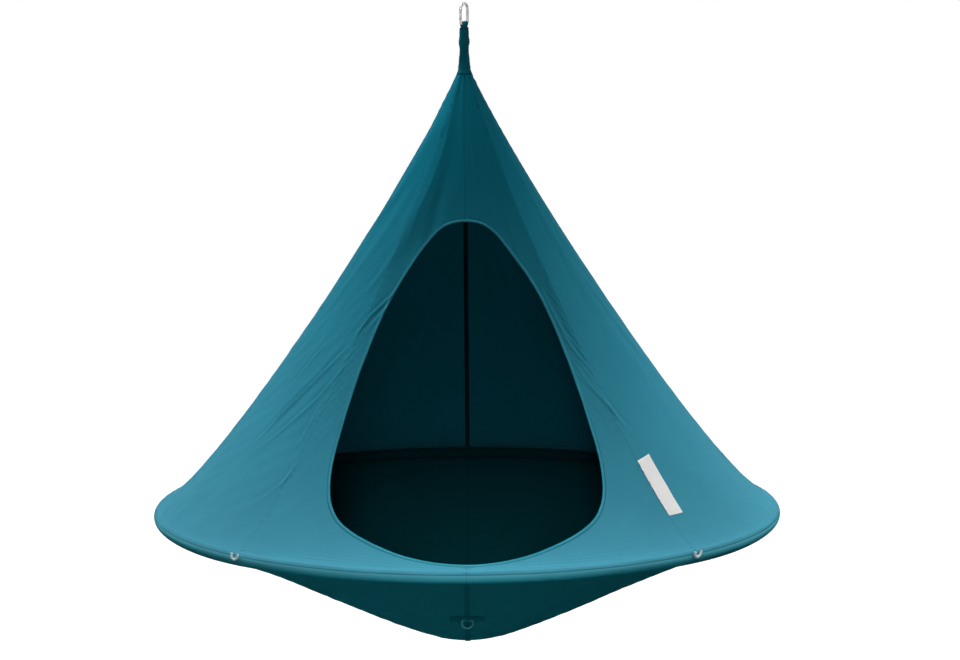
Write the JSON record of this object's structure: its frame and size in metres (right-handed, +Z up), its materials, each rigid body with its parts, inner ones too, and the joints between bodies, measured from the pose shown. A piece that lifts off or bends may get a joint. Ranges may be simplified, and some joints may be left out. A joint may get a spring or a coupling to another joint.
{
  "type": "cocoon hammock",
  "caption": "Hanging cone tent with a doorway, sewn to a rigid ring above a fabric bowl, hung from a snap hook by a sleeved sling.",
  "frame": {"origin": "hanging point: inside the top of the snap hook's bow", "axes": "+Z up along the cone's axis, -Y towards the doorway, +X to the right as seen from the doorway's side"},
  "size_m": [1.5, 1.5, 1.5399],
  "materials": {
    "canopy_cloth": "teal polyester-cotton weave",
    "bowl_cloth": "teal weave, seen in shade",
    "binding_tape": "light blue folded tape",
    "dark_strap": "dark teal webbing",
    "white_cord": "white braided cord",
    "label_cloth": "bare woven label",
    "aluminium": "drawn tube",
    "steel": "polished stainless rod"
  },
  "bodies": {
    "carabiner": {"carabiner_body": "steel", "carabiner_gate_pin": "steel"},
    "gate": {"carabiner_gate": "steel", "carabiner_gate_spring": "steel"},
    "anchor_ring": {"anchor_d_ring": "steel"},
    "hammock": {"sling_webbing": "dark_strap", "sling_sleeve": "canopy_cloth", "canopy_gore_front_right": "canopy_cloth", "canopy_gore_right_front": "canopy_cloth", "canopy_gore_right_back": "canopy_cloth", "canopy_gore_back_right": "canopy_cloth", "canopy_gore_back_left": "canopy_cloth", "canopy_gore_left_back": "canopy_cloth", "canopy_gore_left_front": "canopy_cloth", "canopy_gore_front_left": "canopy_cloth", "door_binding": "binding_tape", "seam_strap_front": "dark_strap", "seam_strap_front_right": "dark_strap", "seam_strap_right": "dark_strap", "seam_strap_back_right": "dark_strap", "seam_strap_back": "dark_strap", "seam_strap_back_left": "dark_strap", "seam_strap_left": "dark_strap", "seam_strap_front_left": "dark_strap", "ring_tube_1": "aluminium", "ring_ferrule_1": "aluminium", "ring_tube_2": "aluminium", "ring_ferrule_2": "aluminium", "ring_tube_3": "aluminium", "ring_ferrule_3": "aluminium", "ring_tube_4": "aluminium", "ring_ferrule_4": "aluminium", "ring_tube_5": "aluminium", "ring_ferrule_5": "aluminium", "ring_tube_6": "aluminium", "ring_ferrule_6": "aluminium", "ring_pocket_front_right": "dark_strap", "bowl_panel_front_right": "bowl_cloth", "tie_loop_front_right": "white_cord", "ring_pocket_back_right": "dark_strap", "bowl_panel_back_right": "bowl_cloth", "tie_loop_back_right": "white_cord", "ring_pocket_back_left": "dark_strap", "bowl_panel_back_left": "bowl_cloth", "tie_loop_back_left": "white_cord", "ring_pocket_front_left": "dark_strap", "bowl_panel_front_left": "bowl_cloth", "tie_loop_front_left": "white_cord", "bowl_tape_front": "dark_strap", "bowl_tape_right": "dark_strap", "bowl_tape_back": "dark_strap", "bowl_tape_left": "dark_strap", "anchor_patch": "dark_strap", "anchor_keeper": "dark_strap", "label": "label_cloth"}
  },
  "joints": [
    {"name": "carabiner_gate_hinge", "type": "hinge", "parent": "carabiner", "child": "gate", "pos_m": [-0.00817, -0.01258, -0.033], "axis": [-0.8387, 0.5446, 0], "range_deg": [0, 25], "stiffness_Nm_per_rad": 0.02, "springref_deg": -20.05},
    {"name": "sling_swing", "type": "hinge", "parent": "carabiner", "child": "hammock", "pos_m": [0, 0, -0.0445], "axis": [-0.5446, -0.8387, 0], "range_deg": [-45, 45]},
    {"name": "anchor_ring_hinge", "type": "hinge", "parent": "hammock", "child": "anchor_ring", "pos_m": [0, -0.34123, -1.4095], "axis": [1, 0, 0], "range_deg": [-100, 55]}
  ]
}
